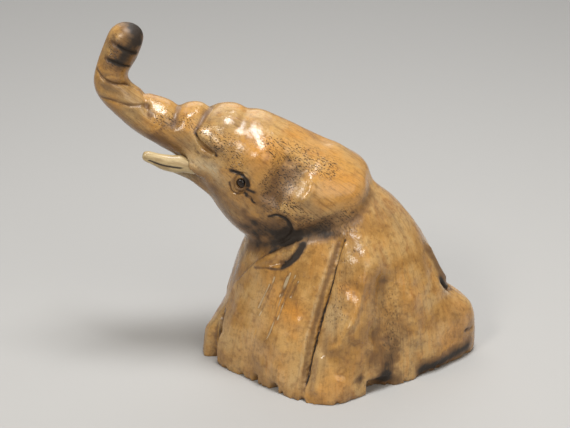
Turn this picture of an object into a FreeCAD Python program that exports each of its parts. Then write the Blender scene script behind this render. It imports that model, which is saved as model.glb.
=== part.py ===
"""Carved wooden elephant: a raised head and trunk growing out of a flared root foot.

One block of root wood carries the whole figure. Two tusks are glued into drilled
sockets beside the mouth, and two bead eyes are glued into drilled sockets in the
head. Millimetres, +Z up, the elephant faces -X, its left side is towards -Y, and
the sawn underside lies on Z = 0.
"""

import FreeCAD
import Part
import math
import os
from FreeCAD import Vector

# ---------------------------------------------------------------- driving dimensions

SCALE = 1.0                     # whole figure, 1.0 is about 242 mm tall

# Trunk and head: (upper x, z), (lower x, z), half width. From the trunk's tip to the
# back of the head; "upper" is the forehead side of the trunk, "lower" the throat side.
TRUNK_STATIONS = [
    ((-94.8, 227.6), (-118.6, 234.2), 12.6),
    ((-99.8, 215.4), (-123.8, 221.0), 12.6),
    ((-107.2, 206.6), (-129.2, 207.4), 12.4),
    ((-106.0, 201.6), (-129.9, 196.6), 12.8),
    ((-101.8, 197.6), (-124.8, 187.6), 13.4),
    ((-95.4, 193.4), (-117.2, 179.8), 14.4),
    ((-84.6, 187.8), (-106.6, 169.2), 16.0),
    ((-72.6, 185.0), (-92.4, 159.2), 18.0),
    ((-59.4, 184.6), (-76.2, 151.0), 20.5),
]
HEAD_STATIONS = [
    ((-46.0, 184.0), (-62.2, 139.0), 24.0),
    ((-31.5, 184.0), (-52.4, 119.6), 28.5),
    ((-14.2, 179.4), (-42.8, 103.8), 34.5),
    ((4.0, 171.6), (-29.6, 90.8), 39.5),
    ((20.2, 161.6), (-13.0, 82.6), 42.5),
    ((36.8, 154.8), (8.0, 80.0), 41.5),
    ((51.6, 145.2), (28.0, 84.0), 36.0),
]
TIP_ROUNDING = 11.0             # how far the trunk's tip is domed past its first station
NAPE_ROUNDING = 13.0            # how far the back of the head is domed past its last one

# Lower jaw and its pointed lip, in the same form as the head.
JAW_STATIONS = [
    ((-90.4, 141.8), (-90.0, 139.8), 1.4),
    ((-84.0, 142.8), (-82.6, 137.4), 4.2),
    ((-74.0, 142.6), (-71.8, 133.8), 7.6),
    ((-62.0, 140.6), (-60.4, 128.0), 11.6),
    ((-48.0, 134.0), (-47.8, 116.0), 17.0),
    ((-34.0, 126.0), (-37.0, 104.0), 22.0),
]
# Swelling of the upper lip that sheathes the root of each tusk (left side).
SHEATH_CENTRE = (-58.0, -16.0, 147.0)
SHEATH_HALF_SIZE = (12.5, 9.0, 8.6)
SHEATH_TILT = -18.0

# Root foot: an oval core whose size grows downwards, with ridges and hollows on it.
# (height, centre x, half length along X, half width along Y)
CORE_LEVELS = [
    (0.0, 38.0, 86.0, 74.0),
    (8.0, 38.0, 86.4, 73.0),
    (16.0, 38.0, 86.0, 71.4),
    (23.0, 38.2, 85.2, 69.8),
    (29.0, 38.4, 84.2, 68.4),
    (34.0, 38.4, 82.8, 67.2),
    (38.0, 38.4, 81.6, 66.2),
    (42.0, 38.4, 80.6, 65.2),
    (46.0, 38.2, 79.4, 64.2),
    (52.0, 38.0, 77.8, 62.6),
    (62.0, 37.2, 74.6, 59.5),
    (75.0, 36.4, 69.2, 55.5),
    (88.0, 35.2, 63.2, 51.0),
    (100.0, 34.0, 56.4, 46.0),
    (112.0, 33.0, 47.6, 40.0),
    (122.0, 32.0, 38.0, 33.0),
    (130.0, 31.0, 25.0, 22.0),
]
# Each ridge or hollow: bearing at the ground, bearing at its top, half width (degrees
# round the core), how far it stands out (mm), the height where it has faded out, and
# how squarely it ends there (a power, 1 is a straight slope).
ROOT_RIDGES = [
    (263.0, 292.0, 13.5, 14.0, 118.0, 3),   # front corner, running up to the shoulder
    (240.0, 242.0, 14.0, 5.0, 70.0, 3),     # swell of the front left panel
    (250.0, 250.0, 7.0, 3.0, 20.0, 2),      # flare of its lower edge
    (314.0, 318.0, 24.0, -7.0, 84.0, 3),    # hollow between that corner and the tail root
    (1.0, 0.0, 17.0, 14.5, 45.0, 9),        # tail root, a squared flange
    (185.0, 184.0, 9.0, 12.5, 40.0, 2),     # chest root, front left
    (200.0, 202.0, 10.0, 5.0, 52.0, 3),     # corner of the panel beside the chest root
    (98.0, 74.0, 14.0, 11.0, 116.0, 3),     # far shoulder ridge
    (52.0, 50.0, 20.0, -8.0, 80.0, 3),      # hollow on the far side
    (146.0, 150.0, 15.0, 5.0, 52.0, 3),     # far chest root
    (30.0, 26.0, 9.0, 6.0, 66.0, 3),        # small lobe behind the tail root
]
LEVEL_POINTS = 60               # points round each level of the root foot

# The long straight grooves that part the ear panels from the shoulders. Each is cut
# with a sloping left floor that is deepest against a steep right wall.
GROOVE_FOOT_X = 11.9            # where the steep wall meets the ground
GROOVE_HEAD_X = 41.4            # and its upper end, under the head
GROOVE_TOP = 108.0              # height of its upper end
GROOVE_FOOT_WIDTH = 3.4
GROOVE_HEAD_WIDTH = 7.0
GROOVE_DEPTH = 4.4
CUTTER_STANDOFF = 6.0           # how far the cutting shapes start outside the wood

# Leaf-shaped recess in the fold of each ear, under the corner of the jaw (left side).
LEAF_TIP = (-19.0, -31.5, 77.5)         # its pointed front end
LEAF_HEEL = (13.0, -42.0, 100.5)        # its rounded back end
LEAF_OUTWARD = (-0.34, -0.76, 0.50)     # the way out of the wood
LEAF_BULGES = (2.2, 8.6)                # how far its edges bow, above and below
LEAF_DEPTH = 7.0
LEAF_UNDERCUT = 2.5                     # how far it runs up under its upper edge

# Rolled fold of the ear that fills the upper part of that recess and overhangs the rest.
ROLL_HALF_SIZE = (24.0, 5.6, 6.4)       # along the leaf, out of the wood, and across it
ROLL_RISE = 1.9                         # its middle, above the line from tip to heel
ROLL_SINK = 2.4                         # and below the surface there

# Tusks: a curved, tapering horn that stands in a round seat, with a turned tenon below.
TUSK_SEAT = (-60.5, -16.0, 144.8)       # centre of the seat's floor, left side
TUSK_TIP = (-95.8, -24.0, 156.4)
TUSK_ROOT_RADIUS = 5.4
TUSK_TIP_RADIUS = 2.5
TUSK_SEAT_DEPTH = 6.0                   # length of the straight root inside the seat
TUSK_SAG = 1.2                          # how far the middle of the tusk hangs down
TUSK_TENON_RADIUS = 3.0
TUSK_TENON_LENGTH = 8.0

# Eyes: a domed bead on a short stem.
EYE_CENTRE = (-29.1, -32.3, 139.9)      # middle of the bead, left side
EYE_FACING = (-0.29, -0.95, 0.05)       # outward direction of the left eye
EYE_RADIUS = 3.1
EYE_STEM_RADIUS = 1.4
EYE_STEM_LENGTH = 6.0

GLUE_GAP = 0.06                 # radial clearance filled by glue round tenons and stems

FULL_TURN = 360.0
BEARING_STEP = 0.01             # degrees, when searching for a bearing
DEGREE = 3                      # of the smooth surfaces
OVAL_POINTS = 16                # guide points round each section of trunk, head and jaw


# ---------------------------------------------------------------- helpers

def point(x, y, z):
    """A point of the figure, with the overall scale applied."""
    return Vector(x, y, z) * SCALE


def skin(rings):
    """A solid with one smooth surface guided by rings of points, flat at both ends."""
    around, along = len(rings[0]), len(rings)
    surface = Part.BSplineSurface()
    surface.buildFromPolesMultsKnots(
        [[ring[i] for ring in rings] for i in range(around)],
        [1] * (around + 1),
        [DEGREE + 1] + [1] * (along - DEGREE - 1) + [DEGREE + 1],
        list(range(around + 1)),
        list(range(along - DEGREE + 1)),
        True,
        False,
        DEGREE,
        DEGREE,
    )
    ends = [
        Part.Face(Part.Wire([surface.vIso(v).toShape()])) for v in (0, along - DEGREE)
    ]
    shell = Part.Shell([surface.toShape()] + ends)
    shell.sewShape()
    solid = Part.Solid(shell)
    if solid.Volume < 0:
        solid.reverse()
    return solid


def oval(upper, lower, half_width):
    """A ring of guide points for an oval section that stands on the median plane."""
    top, bottom = point(upper[0], 0, upper[1]), point(lower[0], 0, lower[1])
    middle, up = (top + bottom) * 0.5, (top - bottom) * 0.5
    side = Vector(0, half_width * SCALE, 0)
    turns = [2 * math.pi * k / OVAL_POINTS for k in range(OVAL_POINTS)]
    # A cubic guided by a ring of points runs a little inside it, so the ring is wider.
    wider = 3 / (2 + math.cos(turns[1]))
    return [middle + (up * math.cos(t) + side * math.sin(t)) * wider for t in turns]


def domed_end(station, neighbour, reach, shares=(0.45, 0.75, 0.93, 0.995)):
    """Sections that round off the end of a loft, from its end station outwards."""
    upper, lower, half_width = station
    next_upper, next_lower, _ = neighbour
    middle = [(upper[i] + lower[i]) / 2 for i in (0, 1)]
    inward = [(next_upper[i] + next_lower[i]) / 2 - middle[i] for i in (0, 1)]
    length = math.hypot(*inward)
    sections = []
    for share in shares:
        size = math.sqrt(1 - share * share)
        shift = [-inward[i] / length * reach * share for i in (0, 1)]
        ends = [
            tuple(middle[i] + (edge[i] - middle[i]) * size + shift[i] for i in (0, 1))
            for edge in (upper, lower)
        ]
        sections.append((ends[0], ends[1], half_width * size))
    return sections


def between(low, high, share):
    """Straight interpolation."""
    return low + (high - low) * share


def core_at(height):
    """Centre, half length and half width of the root's core at a height."""
    for below, above in zip(CORE_LEVELS, CORE_LEVELS[1:]):
        if below[0] <= height <= above[0]:
            share = (height - below[0]) / (above[0] - below[0])
            return [between(below[i], above[i], share) for i in (1, 2, 3)]
    raise ValueError(f"no core at {height}")


def root_radius(bearing, height):
    """Distance from the core's centre to the wood, at a bearing in degrees."""
    _, long_half, short_half = core_at(height)
    angle = math.radians(bearing)
    radius = 1 / math.hypot(math.cos(angle) / long_half, math.sin(angle) / short_half)
    for foot, head, half_angle, reach, top, squareness in ROOT_RIDGES:
        if height >= top:
            continue
        rise = height / top
        middle = between(foot, head, rise)
        off = (bearing - middle + FULL_TURN / 2) % FULL_TURN - FULL_TURN / 2
        fade = 1 - rise ** squareness
        radius += reach * fade * math.exp(-((off / half_angle) ** 2))
    return radius


def root_point(bearing, height, inset=0.0):
    """A point on the root foot's surface, or inset into the wood."""
    centre, _, _ = core_at(height)
    radius = root_radius(bearing, height) - inset
    angle = math.radians(bearing)
    return point(centre + radius * math.cos(angle), radius * math.sin(angle), height)


def bearing_of_x(x, height):
    """The bearing, on the left side, at which the root foot's surface has this X."""
    low, high = FULL_TURN / 2, FULL_TURN
    while high - low > BEARING_STEP:
        middle = (low + high) / 2
        if root_point(middle, height).x < x * SCALE:
            low = middle
        else:
            high = middle
    return low


def mirrored(shape):
    """The same shape on the elephant's other side."""
    return shape.mirror(Vector(0, 0, 0), Vector(0, 1, 0))


def ellipsoid(centre, half_size, tilt):
    """A ball stretched to three half sizes, tilted about Y, at a centre."""
    ball = Part.makeSphere(1.0)
    stretch = FreeCAD.Matrix()
    stretch.scale(Vector(*half_size) * SCALE)
    body = ball.transformGeometry(stretch)
    body.rotate(Vector(0, 0, 0), Vector(0, 1, 0), -tilt)
    body.translate(point(*centre))
    return body


def one_solid(shape, name):
    """The single solid of a boolean result, checked."""
    solids = shape.removeSplitter().Solids
    if len(solids) != 1 or not solids[0].isValid():
        raise ValueError(f"{name}: {len(solids)} solids, valid {[s.isValid() for s in solids]}")
    return solids[0]


# ---------------------------------------------------------------- the carved block

def trunk_and_head():
    """Trunk and head as one flowing solid, domed at both ends."""
    stations = TRUNK_STATIONS + HEAD_STATIONS
    tip = domed_end(stations[0], stations[1], TIP_ROUNDING)
    nape = domed_end(stations[-1], stations[-2], NAPE_ROUNDING)
    return skin([oval(*s) for s in list(reversed(tip)) + stations + nape])


def lower_jaw():
    """The jaw under the tusks, running out to a pointed lip."""
    return skin([oval(*s) for s in JAW_STATIONS])


def root_foot():
    """The flared root that the figure stands on, with its sawn flat underside."""
    bearings = [FULL_TURN * k / LEVEL_POINTS for k in range(LEVEL_POINTS)]
    return skin([[root_point(b, level[0]) for b in bearings] for level in CORE_LEVELS])


def ear_groove():
    """A wedge that cuts the long straight groove on the left side."""
    sections = []
    for share in (0.0, 0.25, 0.5, 0.75, 1.0):
        height = GROOVE_TOP * share
        bearing = bearing_of_x(between(GROOVE_FOOT_X, GROOVE_HEAD_X, share), height)
        width = between(GROOVE_FOOT_WIDTH, GROOVE_HEAD_WIDTH, share)
        mouth = width * (1 + CUTTER_STANDOFF / GROOVE_DEPTH)
        turn = math.degrees(mouth / root_radius(bearing, height))
        corners = [
            root_point(bearing - turn, height, -CUTTER_STANDOFF),
            root_point(bearing, height, -CUTTER_STANDOFF),
            root_point(bearing, height, GROOVE_DEPTH),
        ]
        if share == 0.0:
            corners = [c - Vector(0, 0, 1) for c in corners]
        sections.append(Part.makePolygon(corners + corners[:1]))
    return Part.makeLoft(sections, True, True)


def leaf_axes():
    """The directions along the leaf, up across it, and out of the wood there."""
    along = (point(*LEAF_HEEL) - point(*LEAF_TIP)).normalize()
    across = along.cross(Vector(*LEAF_OUTWARD)).normalize()
    if across.z < 0:
        across = across * -1
    outward = along.cross(across).normalize()
    if outward.y > 0:
        outward = outward * -1
    return along, across, outward


def ear_fold():
    """The leaf-shaped recess in the fold of the left ear."""
    tip, heel = point(*LEAF_TIP), point(*LEAF_HEEL)
    _, across, outward = leaf_axes()
    above, below = [bulge * SCALE for bulge in LEAF_BULGES]
    lift = outward * CUTTER_STANDOFF * SCALE
    edges = []
    for start, end, bow in ((tip, heel, across * above), (heel, tip, across * -below)):
        guides = [start, start + (end - start) * 0.5 + bow, end]
        curve = Part.BSplineCurve()
        curve.interpolate([g + lift for g in guides])
        edges.append(curve.toShape())
    depth = (LEAF_DEPTH + CUTTER_STANDOFF) * SCALE
    inward = across * LEAF_UNDERCUT * SCALE - outward * depth
    return Part.Face(Part.Wire(edges)).extrude(inward)


def ear_roll():
    """The rolled edge of the left ear, lying in the upper part of the leaf-shaped recess."""
    along, across, outward = leaf_axes()
    middle = (point(*LEAF_TIP) + point(*LEAF_HEEL)) * 0.5
    middle = middle + across * ROLL_RISE * SCALE - outward * ROLL_SINK * SCALE
    stretch = FreeCAD.Matrix()
    stretch.scale(Vector(*ROLL_HALF_SIZE) * SCALE)
    roll = Part.makeSphere(1.0).transformGeometry(stretch)
    turn = FreeCAD.Rotation(along, outward, along.cross(outward), "XYZ")
    roll.Placement = FreeCAD.Placement(middle, turn)
    return roll


def lip_sheath():
    """The swelling that the left tusk stands in."""
    return ellipsoid(SHEATH_CENTRE, SHEATH_HALF_SIZE, SHEATH_TILT)


def tusk_socket():
    """The round seat for the left tusk's root, and the drilled hole for its tenon."""
    floor, inward = tusk_line()
    seat = Part.makeCylinder(
        (TUSK_ROOT_RADIUS + GLUE_GAP) * SCALE, TUSK_SEAT_DEPTH * 3 * SCALE, floor, inward * -1
    )
    hole = Part.makeCylinder(
        (TUSK_TENON_RADIUS + GLUE_GAP) * SCALE,
        (TUSK_TENON_LENGTH + 0.5) * SCALE,
        floor,
        inward,
    )
    return seat.fuse(hole)


def eye_socket():
    """The drilled hole and seat that take the left bead eye."""
    centre, outward = point(*EYE_CENTRE), Vector(*EYE_FACING).normalize()
    seat = Part.makeSphere((EYE_RADIUS + GLUE_GAP) * SCALE, centre)
    stem = Part.makeCylinder(
        (EYE_STEM_RADIUS + GLUE_GAP) * SCALE,
        (EYE_RADIUS + EYE_STEM_LENGTH + 0.3) * SCALE,
        centre,
        outward * -1,
    )
    return seat.fuse(stem)


def carved_block():
    """Everything that is one piece of root wood, with its cuts and drilled sockets."""
    sheath = lip_sheath()
    block = trunk_and_head().fuse([lower_jaw(), root_foot(), sheath, mirrored(sheath)])
    left_cuts = [ear_groove(), ear_fold(), tusk_socket(), eye_socket()]
    block = block.cut(left_cuts + [mirrored(c) for c in left_cuts])
    roll = ear_roll()
    return one_solid(block.fuse([roll, mirrored(roll)]), "carved_block")


# ---------------------------------------------------------------- inset pieces

def tusk_line():
    """The centre of the left seat's floor, and the direction from it into the wood."""
    floor = point(*TUSK_SEAT)
    return floor, (floor - point(*TUSK_TIP)).normalize()


def left_tusk():
    """A tusk with a straight root, a sagging taper to a blunt tip, and its tenon."""
    floor, inward = tusk_line()
    reach = floor.distanceToPoint(point(*TUSK_TIP))
    root = TUSK_SEAT_DEPTH * SCALE
    sections = [Part.Wire([Part.makeCircle(TUSK_ROOT_RADIUS * SCALE, floor, inward)])]
    for share in (0.0, 0.2, 0.4, 0.6, 0.8, 0.94, 1.0):
        radius = between(TUSK_ROOT_RADIUS, TUSK_TIP_RADIUS, share ** 1.5)
        if share == 1.0:
            radius *= 0.5
        middle = floor - inward * between(root, reach, share)
        middle.z -= TUSK_SAG * SCALE * math.sin(math.pi * share) ** 2
        sections.append(Part.Wire([Part.makeCircle(radius * SCALE, middle, inward)]))
    horn = Part.makeLoft(sections, True, False)
    tenon = Part.makeCylinder(
        TUSK_TENON_RADIUS * SCALE, TUSK_TENON_LENGTH * SCALE, floor, inward
    )
    return one_solid(horn.fuse(tenon), "left_tusk")


def left_eye():
    """A round bead with a stem behind it."""
    centre, outward = point(*EYE_CENTRE), Vector(*EYE_FACING).normalize()
    bead = Part.makeSphere(EYE_RADIUS * SCALE, centre)
    stem = Part.makeCylinder(
        EYE_STEM_RADIUS * SCALE,
        (EYE_RADIUS + EYE_STEM_LENGTH) * SCALE,
        centre,
        outward * -1,
    )
    return one_solid(bead.fuse(stem), "left_eye")


def main():
    """Builds every piece and writes one STEP file for each."""
    os.makedirs("parts", exist_ok=True)
    tusk, eye = left_tusk(), left_eye()
    pieces = {
        "carved_block": carved_block(),
        "left_tusk": tusk,
        "right_tusk": mirrored(tusk),
        "left_eye": eye,
        "right_eye": mirrored(eye),
    }
    for name, shape in pieces.items():
        shape.exportStep(os.path.join("parts", name + ".step"))
        box = shape.BoundBox
        print(
            f"{name}: {shape.Volume / 1000:.2f} cm3, "
            f"x {box.XMin:.1f}..{box.XMax:.1f}, y {box.YMin:.1f}..{box.YMax:.1f}, "
            f"z {box.ZMin:.1f}..{box.ZMax:.1f}"
        )


main()
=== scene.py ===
"""Looks of the carved wooden elephant: the carved root-wood block, its tusks, its eyes, the studio.

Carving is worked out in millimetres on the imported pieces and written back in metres. The elephant
faces -X, its left side faces -Y, and the sawn underside lies on Z = 0.
"""

import logging
import math
from dataclasses import dataclass
from enum import Enum

import bmesh
import bpy
import numpy as np
from mathutils import Matrix, Vector
from mathutils.bvhtree import BVHTree


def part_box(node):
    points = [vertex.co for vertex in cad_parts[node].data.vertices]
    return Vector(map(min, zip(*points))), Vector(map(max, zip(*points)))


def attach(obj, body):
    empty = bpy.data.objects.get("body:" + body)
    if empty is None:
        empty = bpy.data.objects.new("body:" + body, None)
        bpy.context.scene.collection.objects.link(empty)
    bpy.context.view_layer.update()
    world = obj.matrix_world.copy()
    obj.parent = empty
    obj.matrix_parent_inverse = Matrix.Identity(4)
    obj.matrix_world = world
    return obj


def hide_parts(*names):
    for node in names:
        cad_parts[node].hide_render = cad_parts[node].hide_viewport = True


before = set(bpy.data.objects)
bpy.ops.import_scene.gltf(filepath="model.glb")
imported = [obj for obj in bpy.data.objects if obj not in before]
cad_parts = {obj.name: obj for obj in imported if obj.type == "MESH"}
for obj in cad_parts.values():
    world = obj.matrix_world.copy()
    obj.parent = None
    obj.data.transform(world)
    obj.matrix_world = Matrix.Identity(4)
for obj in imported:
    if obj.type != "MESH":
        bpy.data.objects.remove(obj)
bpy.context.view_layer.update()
MM = 0.001
log = logging.getLogger("elephant")

Point = tuple[float, float, float]


# ---------------------------------------------------------------- words used by the carver

class Cut(Enum):
    """The section that a gouge leaves."""

    ROUND = "a soft valley or, with a negative depth, a soft ridge"
    VEE = "a narrow crease with straight walls"
    STEP = "a step: the left of the stroke stands proud of its right"


class Tone(Enum):
    """A way in which the wood's colour or surface departs from plain honey brown."""

    # Real stains, and painted shade in the creases, grooves, hollows and undersides where shade falls.
    STAIN_AND_SHADE = "stain_and_shade"
    AMBER = "amber"
    ASH = "ash"
    PALE = "pale"
    PORES = "pores"
    SCRATCH = "scratch"


@dataclass(frozen=True)
class Stroke:
    """One pass of the gouge, along a path near the surface.

    Sizes are in millimetres. A stroke is repeated on the far side unless it says otherwise.
    """

    path: tuple[Point, ...]
    width: float
    depth: float
    cut: Cut = Cut.ROUND
    both_sides: bool = True


@dataclass(frozen=True)
class Swell:
    """A rounded rise, or a hollow where the height is negative, in millimetres."""

    centre: Point
    reach: float
    height: float
    both_sides: bool = True


@dataclass(frozen=True)
class Patch:
    """A patch of one tone, round a point or along a path, with an uneven edge."""

    tone: Tone
    path: tuple[Point, ...]
    reach: float
    strength: float = 1.0
    both_sides: bool = True


# ---------------------------------------------------------------- numbers and shapes

def smooth(values: np.ndarray, low: float, high: float) -> np.ndarray:
    """A smooth step from 0 at low to 1 at high."""
    share = np.clip((values - low) / (high - low), 0, 1)
    return share * share * (3 - 2 * share)


def hashed(cells: np.ndarray, seed: int) -> np.ndarray:
    """A fixed random number from 0 to 1 for each whole-number cell.

    Args:
        cells: whole numbers, one row of three for each cell.
        seed: picks one of many unlike patterns.

    Returns:
        One number for each row.
    """
    primes = np.array([73856093, 19349663, 83492791], np.int64)
    mixed = (cells * primes).sum(-1) + seed * 2654435761
    mixed = ((mixed ^ (mixed >> 13)) * 1274126177) & 0xFFFFFFFF
    mixed = ((mixed ^ (mixed >> 15)) * 2246822519) & 0xFFFFFFFF
    return (mixed ^ (mixed >> 16)) / 0xFFFFFFFF


def unevenness(points: np.ndarray, wavelength: float, seed: int) -> np.ndarray:
    """Smooth random values from -1 to 1 that change over a wavelength.

    Args:
        points: one row for each point, in millimetres.
        wavelength: the distance over which they change.
        seed: picks one of many unlike patterns.

    Returns:
        One value for each point.
    """
    scaled = points / wavelength
    cell = np.floor(scaled).astype(np.int64)
    share = scaled - cell
    share = share * share * (3 - 2 * share)
    total = np.zeros(len(points))
    for corner in np.ndindex(2, 2, 2):
        weight = np.prod(np.where(corner, share, 1 - share), axis=1)
        total += weight * hashed(cell + np.array(corner), seed)
    return total * 2 - 1


def flowing(path: tuple[Point, ...], spacing: float = 1.5) -> np.ndarray:
    """A smooth line through the points of a path, in even short steps.

    Args:
        path: the guiding points, in millimetres.
        spacing: about how far apart the returned points lie.

    Returns:
        The points of the line, one row each.
    """
    guides = np.array(path, float)
    if len(guides) == 1:
        return guides
    padded = np.vstack([2 * guides[0] - guides[1], guides, 2 * guides[-1] - guides[-2]])
    line = []
    for a, b, c, d in zip(padded, padded[1:], padded[2:], padded[3:]):
        steps = max(1, int(np.linalg.norm(c - b) / spacing))
        t = (np.arange(steps) / steps)[:, None]
        line.append(
            0.5
            * (2 * b + (c - a) * t + (2 * a - 5 * b + 4 * c - d) * t**2
               + (3 * b - a - 3 * c + d) * t**3)
        )
    return np.vstack(line + [guides[-1:]])


def mirrored(path: tuple[Point, ...]) -> tuple[Point, ...]:
    """The same path on the elephant's other side."""
    return tuple((x, -y, z) for x, y, z in path)


def both(*paths: tuple[Point, ...]) -> tuple[tuple[Point, ...], ...]:
    """The paths and their mirror images."""
    return paths + tuple(mirrored(path) for path in paths)


@dataclass
class Nearness:
    """How a set of points lies to a line: which are near, how far, where along, which side."""

    near: np.ndarray
    distance: np.ndarray
    along: np.ndarray
    side: np.ndarray


class Sculpt:
    """A mesh being carved: its points in millimetres, normals and neighbours."""

    def __init__(self, mesh: bpy.types.Mesh) -> None:
        """Reads a mesh.

        Args:
            mesh: the mesh in metres; it is changed by write().
        """
        self.mesh = mesh
        count = len(mesh.vertices)
        flat = np.zeros(count * 3)
        mesh.vertices.foreach_get("co", flat)
        self.points = flat.reshape(-1, 3) / MM
        edges = np.zeros(len(mesh.edges) * 2, np.int64)
        mesh.edges.foreach_get("vertices", edges)
        self.edges = edges.reshape(-1, 2)
        self.degree = np.bincount(edges, minlength=count).astype(float)
        self.tones: dict[str, np.ndarray] = {}
        self.take_normals()

    def take_normals(self) -> None:
        """Writes the points back and reads the vertex normals and the surface again."""
        self.write()
        flat = np.zeros(len(self.points) * 3)
        self.mesh.vertices.foreach_get("normal", flat)
        self.normals = flat.reshape(-1, 3)
        shape = bmesh.new()
        shape.from_mesh(self.mesh)
        self.surface = BVHTree.FromBMesh(shape)
        shape.free()

    def write(self) -> None:
        """Puts the points back in the mesh, in metres."""
        self.mesh.vertices.foreach_set("co", (self.points * MM).ravel())
        self.mesh.update()

    def averaged(self, values: np.ndarray, passes: int = 1) -> np.ndarray:
        """Values averaged with their neighbours, a number of times over.

        Args:
            values: one row for each vertex.
            passes: how many times.

        Returns:
            The averaged rows.
        """
        rows = values.reshape(len(self.points), -1).astype(float)
        a, b = self.edges.T
        for _ in range(passes):
            around = np.empty_like(rows)
            for column in range(rows.shape[1]):
                around[:, column] = np.bincount(
                    a, rows[b, column], len(rows)
                ) + np.bincount(b, rows[a, column], len(rows))
            rows = 0.5 * rows + 0.5 * around / self.degree[:, None]
        return rows.reshape(values.shape)

    def relax(self, weights: np.ndarray, passes: int) -> None:
        """Smooths the shape where the weights are above 0.

        Args:
            weights: from 0 to 1, one for each vertex.
            passes: how many times.
        """
        for _ in range(passes):
            moved = self.averaged(self.points)
            self.points += weights[:, None] * (moved - self.points)
        self.take_normals()

    def laid(self, path: tuple[Point, ...]) -> np.ndarray:
        """A path as a smooth line that lies on the surface."""
        line = flowing(path)
        found = [self.surface.find_nearest(Vector(p * MM))[0] for p in line]
        return np.array(found) / MM

    def nearness(self, line: np.ndarray, reach: float) -> Nearness:
        """How the vertices lie to a line.

        Args:
            line: points of the line, one row each.
            reach: vertices further than this are left out.

        Returns:
            The nearness of the vertices that are left in.
        """
        low, high = line.min(0) - reach, line.max(0) + reach
        near = np.flatnonzero(((self.points >= low) & (self.points <= high)).all(1))
        p, n = self.points[near], self.normals[near]
        best = np.full(len(near), np.inf)
        along, side = np.zeros(len(near)), np.ones(len(near))
        if len(line) == 1:
            best = np.linalg.norm(p - line[0], axis=1)
        for k, (a, b) in enumerate(zip(line, line[1:])):
            run = b - a
            t = np.clip(((p - a) @ run) / max(run @ run, 1e-9), 0, 1)
            off = p - a - t[:, None] * run
            d = np.linalg.norm(off, axis=1)
            closer = d < best
            best = np.where(closer, d, best)
            along = np.where(closer, (k + t) / (len(line) - 1), along)
            hand = (np.cross(run, off) * n).sum(1)
            side = np.where(closer, np.sign(hand), side)
        keep = best <= reach
        return Nearness(near[keep], best[keep], along[keep], side[keep])

    def push(self, vertices: np.ndarray, heights: np.ndarray) -> None:
        """Moves vertices outwards along their normals, in millimetres."""
        self.points[vertices] += self.normals[vertices] * heights[:, None]

    def stroke(self, stroke: Stroke) -> None:
        """Makes one pass of the gouge, and its mirror image if it has one.

        Args:
            stroke: the pass.
        """
        sides = (stroke.path, mirrored(stroke.path)) if stroke.both_sides else (stroke.path,)
        for hand, path in zip((1, -1), sides):
            found = self.nearness(self.laid(path), stroke.width * 3)
            share = found.distance / stroke.width
            ends = smooth(found.along, -0.02, 0.16) * smooth(1 - found.along, -0.02, 0.16)
            if stroke.cut is Cut.ROUND:
                height = -stroke.depth * np.exp(-(share**2))
            elif stroke.cut is Cut.VEE:
                height = -stroke.depth * np.clip(1 - share, 0, 1) ** 1.3
            else:
                signed = found.side * hand * share
                height = 0.5 * stroke.depth * np.tanh(signed * 4) * np.exp(-(share**2) / 1.5)
            self.push(found.near, height * ends)

    def swell(self, swell: Swell) -> None:
        """Raises or sinks the surface round a point."""
        here = (swell.centre,)
        for path in {here, mirrored(here) if swell.both_sides else here}:
            found = self.nearness(np.array(path, float), swell.reach * 1.6)
            height = swell.height * np.exp(-((found.distance / swell.reach) ** 2) * 1.6)
            self.push(found.near, height)

    def paint(self, patch: Patch) -> None:
        """Adds a patch to the tone that it names.

        Args:
            patch: the patch.
        """
        values = self.tones.setdefault(patch.tone.value, np.zeros(len(self.points)))
        sides = [patch.path, mirrored(patch.path)] if patch.both_sides else [patch.path]
        for path in sides:
            found = self.nearness(flowing(path, 4.0), patch.reach * 1.8)
            p = self.points[found.near]
            uneven = 1 + 0.28 * unevenness(p, 7.0, 5) + 0.16 * unevenness(p, 2.6, 6)
            share = found.distance / patch.reach * uneven
            values[found.near] += patch.strength * np.exp(-(share**2) * 1.4)

    def hollowness(self, passes: int, scale: float) -> np.ndarray:
        """How far each vertex lies in a crease, from 0 to 1.

        Args:
            passes: how wide a neighbourhood is compared.
            scale: the depth in millimetres that counts as 1.

        Returns:
            One number for each vertex.
        """
        lift = ((self.averaged(self.points, passes) - self.points) * self.normals).sum(1)
        return np.clip(lift / scale, 0, 1)

    def store(self, name: str, values: np.ndarray) -> None:
        """Keeps numbers, or rows of three, on the mesh for its material to read."""
        kind = "FLOAT_VECTOR" if values.ndim == 2 else "FLOAT"
        field = "vector" if values.ndim == 2 else "value"
        attribute = self.mesh.attributes.new(name, kind, "POINT")
        attribute.data.foreach_set(field, values.astype(np.float32).ravel())


# ---------------------------------------------------------------- materials

Colour = tuple[float, float, float]
Number = "Value | float"


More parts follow.
